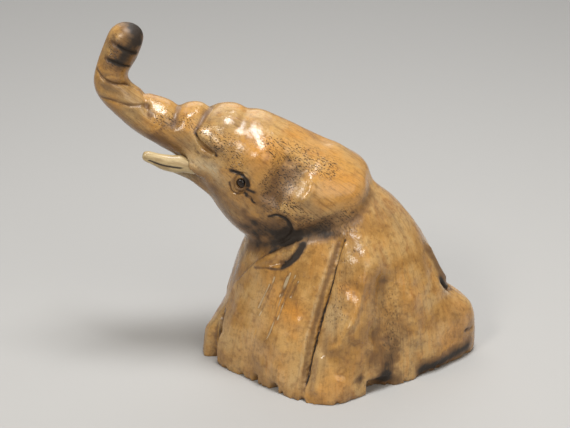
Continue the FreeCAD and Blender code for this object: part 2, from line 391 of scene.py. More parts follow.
class Value:
    """What flows out of a node's socket; arithmetic on it adds Math nodes."""

    def __init__(self, graph: "Graph", socket: bpy.types.NodeSocket) -> None:
        """Wraps one output socket of a graph."""
        self.graph = graph
        self.socket = socket

    def maths(self, operation: str, *terms: Number) -> "Value":
        """A Math node on the terms."""
        return self.graph.node(
            "ShaderNodeMath", {"operation": operation}, dict(enumerate(terms))
        )

    def __add__(self, other: Number) -> "Value":
        """self + other."""
        return self.maths("ADD", self, other)

    def __radd__(self, other: float) -> "Value":
        """other + self."""
        return self.maths("ADD", other, self)

    def __sub__(self, other: Number) -> "Value":
        """self - other."""
        return self.maths("SUBTRACT", self, other)

    def __rsub__(self, other: float) -> "Value":
        """other - self."""
        return self.maths("SUBTRACT", other, self)

    def __mul__(self, other: Number) -> "Value":
        """self * other."""
        return self.maths("MULTIPLY", self, other)

    def __rmul__(self, other: float) -> "Value":
        """other * self."""
        return self.maths("MULTIPLY", other, self)

    def step(self, low: float, high: float) -> "Value":
        """A smooth step from 0 at low to 1 at high, or down again if low is above high.

        Args:
            low: where the step begins.
            high: where it ends.

        Returns:
            The step.
        """
        rising = low < high
        ends = (low, high) if rising else (high, low)
        return self.graph.node(
            "ShaderNodeMapRange",
            {"interpolation_type": "SMOOTHSTEP"},
            {0: self, 1: ends[0], 2: ends[1], 3: 0.0 if rising else 1.0,
             4: 1.0 if rising else 0.0},
        )


class Graph:
    """The node tree of one material."""

    def __init__(self, name: str) -> None:
        """Starts an empty material of that name."""
        self.material = bpy.data.materials.new(name)
        self.material.use_nodes = True
        self.tree = self.material.node_tree
        self.tree.nodes.clear()

    def node(self, kind: str, settings: dict, sockets: dict, output: int = 0) -> Value:
        """Adds a node.

        Args:
            kind: the node's type.
            settings: its properties, set first.
            sockets: values or links for its inputs, by name or number.
            output: which of its outputs is returned.

        Returns:
            That output.
        """
        made = self.tree.nodes.new(kind)
        for key, value in settings.items():
            setattr(made, key, value)
        for key, value in sockets.items():
            if isinstance(value, Value):
                self.tree.links.new(value.socket, made.inputs[key])
            else:
                made.inputs[key].default_value = value
        return Value(self, made.outputs[output])

    def kept(self, name: str, output: int = 2) -> Value:
        """A number that the mesh keeps under that name; output 1 is a row of three."""
        return self.node("ShaderNodeAttribute", {"attribute_name": name}, {}, output)

    def place(self) -> Value:
        """The point on the piece, in metres."""
        return self.node("ShaderNodeTexCoord", {}, {}, 3)

    def stretched(self, coordinates: Value, scales: Point) -> Value:
        """Coordinates multiplied along each of their axes."""
        return self.node(
            "ShaderNodeVectorMath", {"operation": "MULTIPLY"}, {0: coordinates, 1: scales}
        )

    def noise(self, coordinates: Value, scale: float, detail: float = 2.0,
              roughness: float = 0.5, distortion: float = 0.0) -> Value:
        """Smooth random values round 0.5.

        Args:
            coordinates: where it is read.
            scale: how fine it is.
            detail: how many finer layers it has.
            roughness: how strong those are.
            distortion: how much it is bent.

        Returns:
            The noise.
        """
        return self.node(
            "ShaderNodeTexNoise",
            {},
            {"Vector": coordinates, "Scale": scale, "Detail": detail,
             "Roughness": roughness, "Distortion": distortion},
        )

    def pits(self, coordinates: Value, scale: float) -> Value:
        """Distance to the nearest of many scattered points, in cells.

        Args:
            coordinates: where it is read.
            scale: how close the points lie.

        Returns:
            The distance.
        """
        return self.node(
            "ShaderNodeTexVoronoi",
            {"feature": "F1"},
            {"Vector": coordinates, "Scale": scale, "Randomness": 1.0},
        )

    def mixed(self, share: Number, first: "Value | Colour", second: "Value | Colour") -> Value:
        """A mix of two colours.

        Args:
            share: how much of the second, from 0 to 1.
            first: a colour, or a value that is one.
            second: the other.

        Returns:
            The mixed colour.
        """
        ends = [c if isinstance(c, Value) else (*c, 1.0) for c in (first, second)]
        return self.node(
            "ShaderNodeMix",
            {"data_type": "RGBA", "clamp_factor": True},
            {0: share, 6: ends[0], 7: ends[1]},
            2,
        )

    def raised(self, height: Value, distance: float, strength: float = 1.0) -> Value:
        """A surface direction roughened by a height of 0 to 1 times a distance in metres."""
        return self.node(
            "ShaderNodeBump", {}, {"Strength": strength, "Distance": distance, "Height": height}
        )

    def finished(self, sockets: dict) -> bpy.types.Material:
        """Closes the graph with its surface shader, and gives the material."""
        surface = self.node("ShaderNodeBsdfPrincipled", {}, sockets)
        out = self.tree.nodes.new("ShaderNodeOutputMaterial")
        self.tree.links.new(surface.socket, out.inputs["Surface"])
        return self.material


@dataclass(frozen=True)
class RootWood:
    """Varnished honey-brown root wood with stains, pores, a broken gloss and painted shade in its creases,
    hollows and undersides.
    """

    honey: Colour = (0.52, 0.275, 0.070)
    tan: Colour = (0.52, 0.325, 0.125)
    amber: Colour = (0.60, 0.265, 0.048)
    russet: Colour = (0.29, 0.115, 0.030)
    ash: Colour = (0.19, 0.125, 0.068)
    pale: Colour = (0.62, 0.49, 0.30)
    umber: Colour = (0.120, 0.056, 0.019)
    # Near-black of the deep stains, of the painted shade in creases and hollows, and of the pores.
    stain_and_shade: Colour = (0.016, 0.010, 0.006)
    gloss: float = 0.18

    def material(self) -> bpy.types.Material:
        """The wood's material; it reads the tones and the grain kept on the mesh."""
        g = Graph("root_wood")
        place, grain = g.place(), g.kept("grain", 1)
        tone = {t: g.kept(t.value) for t in Tone}
        crease, foot, under = g.kept("crease"), g.kept("foot"), g.kept("under")

        clouds = g.noise(place, 34.0, 4.0, 0.6)
        blotches = g.noise(place, 75.0, 4.0, 0.65, 0.6)
        mottle = g.noise(place, 290.0, 3.0, 0.6)
        grit = g.noise(place, 1300.0, 2.0, 0.6)
        streaks = g.noise(g.stretched(grain, (820.0, 820.0, 50.0)), 1.0, 3.0, 0.6, 0.7)
        bands = g.noise(g.stretched(grain, (230.0, 230.0, 14.0)), 1.0, 4.0, 0.6, 0.4)
        figure = g.noise(g.stretched(grain, (95.0, 95.0, 30.0)), 1.0, 3.0, 0.55, 1.6)
        dashes = g.noise(g.stretched(grain, (1500.0, 1500.0, 62.0)), 1.0, 1.0, 0.4)
        dots = g.pits(g.stretched(grain, (1.0, 1.0, 0.42)), 980.0)

        wood = g.mixed(clouds.step(0.40, 0.62), self.honey, self.tan)
        wood = g.mixed(figure.step(0.48, 0.70) * 0.35, wood, self.amber)
        wood = g.mixed(tone[Tone.AMBER] * clouds.step(0.25, 0.55) * 0.8, wood, self.amber)
        wood = g.mixed(blotches.step(0.52, 0.72) * (0.42 + foot * 0.14), wood, self.russet)
        wood = g.mixed(tone[Tone.ASH] * bands.step(0.25, 0.60) * 0.75, wood, self.ash)
        wood = g.mixed(tone[Tone.PALE] * streaks.step(0.20, 0.55) * 0.85, wood, self.pale)
        wood = g.mixed(bands.step(0.52, 0.74) * (0.36 - foot * 0.16), wood, self.umber)
        wood = g.mixed(streaks.step(0.50, 0.72) * (0.46 - foot * 0.26), wood, self.umber)
        wood = g.mixed(mottle.step(0.46, 0.70) * (0.22 + foot * 0.16), wood, self.umber)
        wood = g.mixed(grit.step(0.50, 0.75) * 0.22, wood, self.umber)
        # Painted shade: darker in the creases and hollows.
        wood = g.mixed(crease.step(0.10, 0.90) * 0.75, wood, self.umber)
        # Painted shade: darker on the surfaces that face down.
        wood = g.mixed(under * 0.62, wood, self.umber)
        wood = g.mixed(clouds.step(0.56, 0.36) * foot * 0.40, wood, self.umber)
        # Stains, and the painted shade that the same tone carries, darken to umber and then to near-black.
        dark = tone[Tone.STAIN_AND_SHADE] * 1.10 + streaks * 0.35 + mottle * 0.35 - 0.35
        wood = g.mixed(dark.step(0.10, 0.70) * 0.78, wood, self.umber)
        wood = g.mixed(dark.step(0.62, 1.15) * 0.96, wood, self.stain_and_shade)

        open_wood = tone[Tone.PORES] + g.noise(place, 120.0, 2.0).step(0.50, 0.75) * 0.30
        dot = dots.step(0.36, 0.20) * open_wood.step(0.10, 0.70)
        dash = dashes.step(0.62, 0.68) * open_wood.step(0.25, 0.85) * (1.0 - foot * 0.6)
        holes = dot.maths("MAXIMUM", dot, dash)
        wood = g.mixed(holes * 0.88, wood, self.stain_and_shade)
        scored = tone[Tone.SCRATCH].step(0.35, 0.80)
        wood = g.mixed(scored * 0.60, wood, self.pale)

        height = streaks * 0.30 + mottle * 0.65 + grit * 0.12 - holes * 0.50
        dull = tone[Tone.STAIN_AND_SHADE] * 0.36 + crease * 0.20 + blotches * 0.24 + self.gloss - 0.12
        return g.finished({
            "Base Color": wood,
            "Roughness": dull,
            "Normal": g.raised(height, 0.00046, 0.90),
            "Coat Weight": (1.0 - tone[Tone.STAIN_AND_SHADE].step(0.1, 0.8)) * 0.12,
            "Coat Roughness": 0.12,
            "IOR": 1.48,
        })


@dataclass(frozen=True)
class PaleTusk:
    """Cream-coloured carved wood with a dark split along it."""

    cream: Colour = (0.56, 0.43, 0.225)
    shade: Colour = (0.30, 0.20, 0.095)
    split: Colour = (0.035, 0.022, 0.012)

    def material(self) -> bpy.types.Material:
        """The tusk's material; it reads the grain and the split kept on the mesh."""
        g = Graph("tusk")
        grain = g.kept("grain", 1)
        streaks = g.noise(g.stretched(grain, (520.0, 520.0, 60.0)), 1.0, 4.0, 0.6)
        fine = g.noise(g.place(), 700.0, 3.0, 0.6)
        colour = g.mixed(streaks.step(0.42, 0.66) * 0.75, self.cream, self.shade)
        colour = g.mixed(fine.step(0.5, 0.75) * 0.3, colour, self.shade)
        colour = g.mixed(g.kept("split").step(0.15, 0.75), colour, self.split)
        return g.finished({
            "Base Color": colour,
            "Roughness": fine * 0.2 + 0.25,
            "Normal": g.raised(streaks * 0.6 + fine * 0.4, 0.0003, 0.6),
            "Coat Weight": 0.2,
            "Coat Roughness": 0.15,
        })


@dataclass(frozen=True)
class PolishedBead:
    """A polished black bead."""

    black: Colour = (0.012, 0.009, 0.008)
    brown: Colour = (0.045, 0.025, 0.014)

    def material(self) -> bpy.types.Material:
        """The bead's material, with faint brown clouds in the black."""
        g = Graph("eye_bead")
        clouds = g.noise(g.place(), 500.0, 2.0)
        return g.finished({
            "Base Color": g.mixed(clouds.step(0.45, 0.65), self.black, self.brown),
            "Roughness": clouds * 0.10 + 0.14,
            "Coat Weight": 0.15,
            "Coat Roughness": 0.05,
            "IOR": 1.35,
        })


# ---------------------------------------------------------------- what is carved where

@dataclass(frozen=True)
class Region:
    """Part of the block that is carved and coloured together."""

    swells: tuple[Swell, ...] = ()
    strokes: tuple[Stroke, ...] = ()
    patches: tuple[Patch, ...] = ()

    def carve(self, sculpt: Sculpt) -> None:
        """Makes the region's rises, hollows and gouge strokes.

        Args:
            sculpt: the mesh being carved.
        """
        for swell in self.swells:
            sculpt.swell(swell)
        sculpt.take_normals()
        for stroke in self.strokes:
            sculpt.stroke(stroke)
        sculpt.take_normals()

    def paint(self, sculpt: Sculpt) -> None:
        """Adds the region's patches of tone."""
        for patch in self.patches:
            sculpt.paint(patch)


EYE = (-29.1, -32.3, 139.9)
EYE_FACING = (-0.29, -0.95, 0.05)
EYE_LEAN = 28.0                 # how far the eye leans, in degrees
CHEEK_FOLD = ((-60, -21, 171), (-57, -23, 165), (-52, -25, 161), (-46, -27, 157))
LIP_FOLD = ((-62, -22, 164), (-59, -23, 158), (-52, -25, 155), (-47, -26, 156))
JAW_ARC = ((-11, -39, 118), (-6, -39, 119.5), (0, -40, 117.7), (4.4, -39, 112), (4.4, -37, 105.4),
           (0, -35.6, 99.7), (-6.5, -33, 95.6))
LEAF_LOW = ((-20, -31, 77), (-12, -37, 79), (-4, -43, 81), (4, -45, 86), (9, -45, 90.5),
            (12.5, -43, 98))
LEAF_GAP = ((-1, -41.5, 83.4), (5, -43, 88.5), (9.3, -43.2, 94), (12.3, -42.8, 98.5))
LEAF_TOP = ((-20, -30, 80), (-11, -34, 88.7), (0, -37, 96.6), (11, -39.5, 102))
GROOVE_WALL = ((40.6, -46, 103.4), (32.7, -54.4, 76), (23.3, -64, 45), (13.2, -79, 2.7))
GROOVE_FLOOR = ((36, -44.4, 100), (27.3, -56, 75), (18, -66.4, 42.4), (9.8, -77, 1.7))
GROOVE_LIP = ((32.6, -45.7, 100), (23.2, -56.7, 71), (13.2, -68, 35.7), (7.8, -76.7, 1.4))
EAR_EDGE = ((-15.4, -33, 85.2), (-22.4, -28, 77.8), (-31, -21.5, 65.7), (-37.7, -14.5, 54),
            (-41.5, -14, 42), (-44, -18, 31))
CLEFT = ((-51, -17, -2), (-50, -20, 9), (-47, -23, 19), (-45.5, -21, 28), (-43, -16, 38))
BARK_LOBE = ((99.5, -13.6, 83), (106.4, -12, 72), (112.9, -9, 60), (118, 3, 47))
TIP_RINGS = (
    ((-115, -10, 231), (-108, -12, 227), (-99, -6, 222)),
    ((-120, -10, 220), (-112, -12, 217), (-104, -6, 213)),
)
BEND_CREASE = ((-126, -5, 212), (-121, -12, 206), (-115, -12, 203), (-106, -5, 200), (-98, -2, 195))
LONG_CREASE = ((-124, -9, 193), (-114, -13, 191), (-104, -14, 188), (-93, -11, 188))
LID_TOP = ((-36, -30, 148), (-33, -31, 147.2), (-29.5, -33, 146.5), (-26, -35, 143), (-24.6, -35.4, 139))
BAG_ONE = ((-37.3, -30.6, 139.2), (-36.1, -30.3, 134), (-32.7, -32, 131.8), (-29.2, -34, 133.3),
           (-25.2, -35, 133))
BAG_TWO = ((-26, -35.4, 131.7), (-23.2, -36.3, 130.6), (-21.8, -36, 127.6), (-19.2, -36.7, 126.4))
SCORES = (
    ((-7.2, -43, 74.7), (-12, -45, 61.3), (-17.5, -45, 46.9)),
    ((-10.6, -43, 69.4), (-18.2, -42.7, 51.9)),
    ((3.7, -47, 79.6), (-1, -49.7, 67.3), (-5.8, -52.3, 53.5), (-9.9, -55, 39.8), (-15.4, -54.3, 27.8)),
    ((7.1, -48.8, 78.8), (1, -51.7, 65.2), (-5.1, -55, 48.8)),
    ((1.7, -47.4, 76.7), (-3.7, -49.6, 63.5)),
    ((9.1, -51, 75.4), (3.7, -53, 64.4)),
)
BASE_EDGE = ((-59, -6, 0), (-56, -16, 0), (-49, -28, 0), (-34, -41, 0), (-18, -58, 0), (0, -77, 0),
             (27, -88, 0), (48, -78, 0), (58, -66, 0), (77, -58, 0), (106, -41, 0), (130, -17, 0),
             (137, 0, 0))
CHIPS = (                       # bearing, half width, depth, height of the chips in the base edge
    (203.0, 1.4, 1.6, 3.0), (213.0, 2.0, 2.2, 4.0), (223.0, 2.2, 6.5, 7.0), (227.0, 1.0, 1.6, 3.0),
    (235.6, 3.0, 7.5, 6.5), (240.5, 1.0, 2.0, 3.5), (252.0, 1.2, 1.8, 3.0), (268.0, 1.5, 2.0, 4.0),
    (300.0, 1.5, 2.5, 5.0), (310.0, 1.6, 2.2, 4.0), (333.0, 1.6, 2.4, 6.0), (352.0, 1.6, 2.4, 5.0),
    (24.0, 2.0, 3.0, 5.0), (70.0, 2.5, 4.0, 6.0), (96.0, 1.8, 3.0, 5.0), (128.0, 3.0, 4.5, 7.0),
    (160.0, 2.0, 3.0, 5.0),
)
BASE_CUTS = (                   # bearings between which it deepens and fades; depth, height, curve
    ((189.4, 190.6), (192.0, 198.0), 8.5, 30.0, 0.7),
    ((283.2, 284.6), (291.0, 306.0), 10.0, 10.5, 0.6),
    ((316.0, 328.0), (348.0, 358.0), 3.5, 9.0, 1.0),
)
DETAIL = (                      # what is divided finely: lines, and how far from them
    (both((EYE,)), 15),
    (both(CHEEK_FOLD, JAW_ARC, LEAF_LOW, LEAF_TOP, LONG_CREASE, BEND_CREASE, EAR_EDGE), 5.5),
    (both(*TIP_RINGS) + (CLEFT, BARK_LOBE), 4.5),
    ((GROOVE_WALL, BASE_EDGE), 5.0),
    (SCORES, 3.4),
    (both((EYE,)), 9.5),
    (both(CHEEK_FOLD, LEAF_LOW, BAG_ONE, BAG_TWO), 2.4),
    ((JAW_ARC, GROOVE_WALL, BEND_CREASE, CLEFT), 1.8),
    (SCORES, 1.5),
)


TRUNK = Region(
    swells=(
        Swell((-84, 0, 187), 9, 1.2),
        Swell((-61, 0, 185), 10, 1.6),
        Swell((-37, 0, 184), 11, 1.4),
        Swell((-15, 0, 181), 9, 0.8),
        Swell((-93, -11, 188), 2.6, -1.6),
        Swell((-81, -12, 181), 5, 0.9),
        Swell((-66, -13, 180), 6, 1.1),
        Swell((-40, -17, 176), 9, 1.2),
    ),
    strokes=(
        Stroke(((-77, -19, 171), (-74, -16, 179), (-72, 0, 186), (-74, 16, 179), (-77, 19, 171)),
               3.6, 2.4, both_sides=False),
        Stroke(((-61, -21, 168), (-57, -17, 177), (-50, 0, 185), (-57, 17, 177), (-61, 21, 168)),
               4.0, 2.8, both_sides=False),
        Stroke(((-31, -23, 170), (-27, -13, 179), (-24, 0, 182), (-27, 13, 179), (-31, 23, 170)),
               4.6, 1.5, both_sides=False),
        Stroke(((-88, -16, 173), (-92, -14, 182), (-96, 0, 193), (-92, 14, 182), (-88, 16, 173)),
               2.6, 1.6, both_sides=False),
        Stroke(BEND_CREASE, 1.9, 1.5, Cut.VEE),
        Stroke(LONG_CREASE, 1.8, 1.2, Cut.VEE),
        Stroke(((-121, -9, 207), (-116, -12, 209), (-110, -12, 207)), 1.5, 0.7, Cut.VEE),
        Stroke(TIP_RINGS[0], 1.7, 1.5, Cut.VEE),
        Stroke(TIP_RINGS[1], 1.7, 1.5, Cut.VEE),
        Stroke(((-124, -6, 201), (-118, -12, 198), (-108, -12, 194)), 2.6, 0.9),
        Stroke(((-108, -12, 186), (-98, -14, 179), (-88, -15, 171)), 3.0, 0.8),
    ),
    patches=(
        Patch(Tone.STAIN_AND_SHADE, ((-103, -5, 237), (-101, -9, 231), (-104, -11, 226), (-108, -12, 219)), 9.5, 1.0),
        Patch(Tone.STAIN_AND_SHADE, ((-97, 0, 232), (-103, 0, 220)), 6, 0.7, False),
        # Painted shade: the next three patches darken the grooves between the trunk's rings, the next two
        # its underside, and the next four its creases.
        Patch(Tone.STAIN_AND_SHADE, ((-60, -19, 171), (-57, -16, 177), (-52, -6, 183)), 2.6, 0.7),
        Patch(Tone.STAIN_AND_SHADE, ((-76, -17, 174), (-74, -14, 179)), 2.6, 0.6),
        Patch(Tone.STAIN_AND_SHADE, ((-90, -13, 181), (-93, -9, 187)), 2.4, 0.7),
        Patch(Tone.STAIN_AND_SHADE, ((-84, -14, 168), (-73, -18, 160)), 6, 0.45),
        Patch(Tone.STAIN_AND_SHADE, ((-104, -8, 180), (-88, -8, 164), (-74, -8, 152)), 5, 0.5),
        Patch(Tone.STAIN_AND_SHADE, BEND_CREASE, 1.6, 0.6),
        Patch(Tone.STAIN_AND_SHADE, LONG_CREASE, 1.6, 0.5),
        Patch(Tone.STAIN_AND_SHADE, TIP_RINGS[0], 1.5, 0.7),
        Patch(Tone.STAIN_AND_SHADE, TIP_RINGS[1], 1.5, 0.7),
        Patch(Tone.AMBER, ((-112, -12, 211),), 7, 0.6),
        Patch(Tone.AMBER, ((-88, -15, 178), (-66, -19, 174)), 7, 0.5),
        Patch(Tone.ASH, ((-119, -11, 200), (-100, -14, 190)), 10, 0.8),
        Patch(Tone.ASH, ((-76, -17, 175), (-64, -20, 165)), 8, 0.8),
        Patch(Tone.ASH, ((-114, -11, 231), (-117, -11, 220)), 10, 1.0),
        Patch(Tone.ASH, ((-50, -14, 180), (-36, -16, 177), (-24, -18, 173)), 9, 0.6),
        # Painted shade on the trunk's underside.
        Patch(Tone.STAIN_AND_SHADE, ((-110, -9, 186), (-96, -12, 174), (-82, -14, 163)), 5, 0.35),
        Patch(Tone.PORES, ((-112, -12, 228), (-114, -12, 220)), 9, 0.6),
        Patch(Tone.PORES, ((-84, -15, 178), (-70, -17, 178), (-55, -20, 174)), 9, 0.6),
    ),
)

HEAD = Region(
    swells=(
        Swell((-17, -32, 158), 14, 4.6),
        Swell((33, -36, 134), 26, 2.8),
        Swell((38, 0, 155), 12, 1.2, False),
        Swell((25, 0, 161), 8, -1.2, False),
        Swell((-8, -37, 108), 10, -1.2),
        Swell((-54, -24, 158), 5, 1.3),
        Swell((52, -24, 134), 14, 2.5),
        Swell((60, 0, 133), 13, 3.0, False),
    ),
    strokes=(
        Stroke(((13, -30, 152), (3, -36, 143), (-8, -39, 133), (-14, -38, 125)), 8.5, 3.2),
        Stroke(((8, -27, 158), (1, -31, 154), (-4, -35, 146), (-9, -37, 136), (-13, -37.5, 127)),
               6.0, 3.2),
        Stroke(((12, -32, 147), (17.7, -37.3, 141.8), (17, -40.2, 137), (13, -42, 131), (9, -42, 126)),
               3.0, -2.0),
        Stroke(((-59, -20, 175), (-54, -22, 169), (-48, -25, 165), (-42, -27, 161)), 3.8, -2.8),
        Stroke(CHEEK_FOLD, 2.6, 3.0, Cut.VEE),
        Stroke(LIP_FOLD, 1.8, 0.9, Cut.VEE),
        Stroke(((-66, -22, 152), (-62, -24, 151), (-58, -24, 146), (-58, -22, 140)), 1.8, 1.0, Cut.VEE),
        Stroke(LID_TOP, 1.2, 1.2, Cut.VEE),
        Stroke(BAG_ONE, 1.1, 0.9, Cut.VEE),
        Stroke(BAG_TWO, 1.1, 0.9, Cut.VEE),
        Stroke(((-5, -40, 116), (1, -40, 112), (1, -39, 106), (-4, -35, 100)), 4.0, 1.2),
        Stroke(JAW_ARC, 1.8, 1.9, Cut.VEE),
        Stroke(((-15, -28, 90), (0, -38, 97), (10, -39, 104), (24, -41, 108), (40, -40, 112),
                (51, -32, 118), (58, -16, 125)), 4.5, 1.2),
    ),
    patches=(
        # Painted shade: the patches from here to the cheek fold darken the underside of the jaw, the jaw
        # arc and the neckline under the overhanging head.
        Patch(Tone.STAIN_AND_SHADE, ((-24, -17, 89), (-15, -28, 92), (-6, -34, 97), (4, -37, 102)), 7, 0.75),
        Patch(Tone.STAIN_AND_SHADE, ((-15, -36, 106), (-5, -38, 108)), 13, 0.85),
        Patch(Tone.STAIN_AND_SHADE, ((-28, -24, 104), (-22, -28, 97)), 9, 0.6),
        Patch(Tone.STAIN_AND_SHADE, JAW_ARC, 1.1, 0.9),
        Patch(Tone.STAIN_AND_SHADE, ((14, -40, 106), (28, -41, 110), (40, -40, 114), (51, -32, 120),
                           (57, -18, 125)), 9, 0.50),
        Patch(Tone.STAIN_AND_SHADE, ((12, -39, 109), (26, -41, 114)), 9, 0.45),
        # Painted shade in the cheek fold, along the upper lid and round the eye.
        Patch(Tone.STAIN_AND_SHADE, CHEEK_FOLD, 1.4, 1.2),
        Patch(Tone.STAIN_AND_SHADE, LID_TOP, 1.5, 1.4),
        Patch(Tone.STAIN_AND_SHADE, (EYE,), 6.4, 0.85),
        Patch(Tone.STAIN_AND_SHADE, ((-43, -28, 149), (-42, -28, 149)), 1.1, 1.2),
        Patch(Tone.STAIN_AND_SHADE, ((-39.5, -29, 149), (-38, -29, 148.5)), 1.1, 1.2),
        Patch(Tone.STAIN_AND_SHADE, ((-25, -35, 136), (-20, -37, 134)), 1.0, 1.0),
        # Painted shade in the creases under the eye.
        Patch(Tone.STAIN_AND_SHADE, BAG_ONE, 0.9, 0.8),
        Patch(Tone.STAIN_AND_SHADE, BAG_TWO, 0.9, 1.0),
        # Painted shade: the next two patches darken the temple hollow, and the two after them the underside
        # of the cheek and mouth.
        Patch(Tone.STAIN_AND_SHADE, ((-20, -36, 131), (-12, -38, 128), (-8, -37, 137), (-2, -34, 147)), 9.5, 0.50),
        Patch(Tone.STAIN_AND_SHADE, ((-4, -39, 131), (3, -37, 141), (10, -30, 150)), 8, 0.35),
        Patch(Tone.STAIN_AND_SHADE, ((-48, -24, 134), (-38, -28, 124), (-26, -32, 114)), 7, 0.35),
        Patch(Tone.STAIN_AND_SHADE, ((-62, -14, 136), (-50, -20, 126), (-38, -20, 112)), 8, 0.45),
        Patch(Tone.AMBER, ((-15, -32, 159),), 15, 1.1),
        Patch(Tone.AMBER, ((36, -33, 140), (46, -30, 132)), 15, 0.8),
        Patch(Tone.AMBER, ((10, -12, 166), (34, -14, 155)), 15, 0.45),
        Patch(Tone.ASH, ((6, -36, 144), (-7, -39, 133), (-14, -38, 125)), 10, 0.9),
        Patch(Tone.ASH, ((12, -39, 126), (26, -41, 114), (44, -38, 118)), 10, 0.7),
        Patch(Tone.ASH, ((-42, -29, 140), (-30, -33, 126)), 9, 0.55),
        Patch(Tone.ASH, ((-46, -24, 163), (-36, -27, 157)), 8, 0.6),
        Patch(Tone.PALE, ((-66, -19, 152), (-58, -23, 150), (-48, -26, 147)), 6, 1.0),
        Patch(Tone.PALE, ((-90, 0, 140), (-78, -5, 138), (-68, -9, 135)), 6, 1.1),
        Patch(Tone.PALE, ((-44, -28, 140),), 8, 0.4),
        Patch(Tone.PORES, ((6, -36, 148), (-6, -37, 134), (4, -41, 122), (20, -42, 113), (42, -38, 115)),
              9, 1.1),
        Patch(Tone.PORES, ((-8, -26, 161), (14, -27, 156), (30, -28, 150)), 10, 1.3),
        Patch(Tone.PORES, ((-10, -36, 126), (-4, -35, 142)), 9, 0.8),
        Patch(Tone.PORES, ((-47, -22, 166), (-34, -26, 160), (-30, -28, 152)), 10, 0.9),
        Patch(Tone.PORES, ((-12, -36, 108), (-20, -30, 100)), 10, 0.8),
    ),
)

EAR = Region(
    strokes=(
        Stroke(LEAF_TOP, 1.6, 0.8, Cut.VEE),
        Stroke(EAR_EDGE, 4.0, 2.4, Cut.STEP),
        Stroke(GROOVE_WALL, 1.3, 1.6, Cut.VEE),
    ) + tuple(Stroke(score, 0.9, 0.55, Cut.VEE, False) for score in SCORES),
    patches=(
        # Painted shade: the next five patches darken the crevice under the leaf fold, its edges and the
        # groove's wall and floor; the sixth darkens the hollow under the ear.
        Patch(Tone.STAIN_AND_SHADE, LEAF_GAP, 2.9, 1.4),
        Patch(Tone.STAIN_AND_SHADE, LEAF_LOW, 1.3, 0.9),
        Patch(Tone.STAIN_AND_SHADE, LEAF_TOP, 1.2, 0.5),
        Patch(Tone.STAIN_AND_SHADE, GROOVE_WALL, 1.05, 1.3),
        Patch(Tone.STAIN_AND_SHADE, GROOVE_FLOOR, 3.2, 0.62),
        Patch(Tone.STAIN_AND_SHADE, ((30, -42, 106), (20, -42, 103)), 5, 0.4),
        Patch(Tone.AMBER, ((-6, -48, 62), (8, -55, 45)), 16, 0.7),
        Patch(Tone.AMBER, ((-20, -50, 25), (-2, -62, 20)), 14, 0.5),
        Patch(Tone.AMBER, ((22, -47, 100), (26, -50, 85)), 8, 0.5),
        Patch(Tone.ASH, ((-28, -12, 86), (-32, -12, 74), (-37, -9, 60)), 7, 1.0),
        # Painted highlight: a pale line along the lit lip of the groove.
        Patch(Tone.PALE, GROOVE_LIP, 1.1, 0.6),
    ) + tuple(Patch(Tone.SCRATCH, score, 0.6, 1.2, False) for score in SCORES)
    + tuple(Patch(Tone.STAIN_AND_SHADE, score, 1.3, 0.45, False) for score in SCORES),
)

